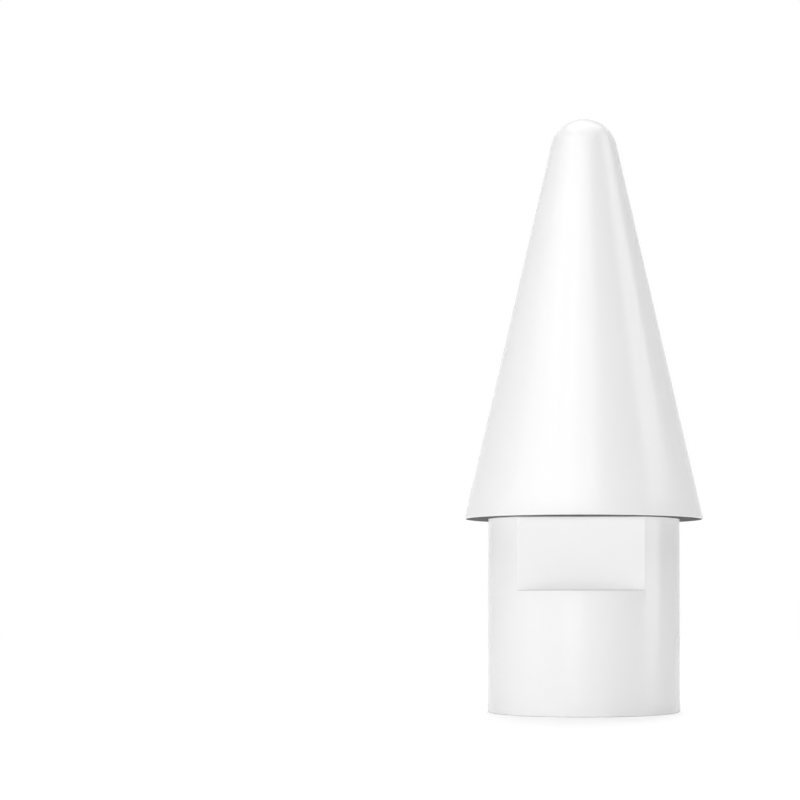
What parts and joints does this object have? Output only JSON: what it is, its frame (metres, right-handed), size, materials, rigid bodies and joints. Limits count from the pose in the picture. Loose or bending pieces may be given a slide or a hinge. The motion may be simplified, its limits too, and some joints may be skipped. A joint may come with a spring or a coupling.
{
  "type": "stylus pen nib",
  "caption": "Cone-shaped replacement nib for a tablet stylus: white moulded shell with spanner flats under its shoulder, threaded metal insert and tip electrode.",
  "frame": {"origin": "on the nib's axis, at the foot of the sleeve, on which it stands", "axes": "+Z along the axis from the foot to the point; the spanner flats face -Y and +Y"},
  "size_m": [0.0064, 0.0064, 0.0163],
  "materials": {
    "shell_plastic": "satin moulded white engineering plastic",
    "insert_brass": "turned brass, machined thread",
    "electrode_metal": "nickel-plated turned pin"
  },
  "bodies": {
    "root": {"nib_shell": "shell_plastic", "thread_insert": "insert_brass", "tip_electrode": "electrode_metal"}
  },
  "joints": []
}
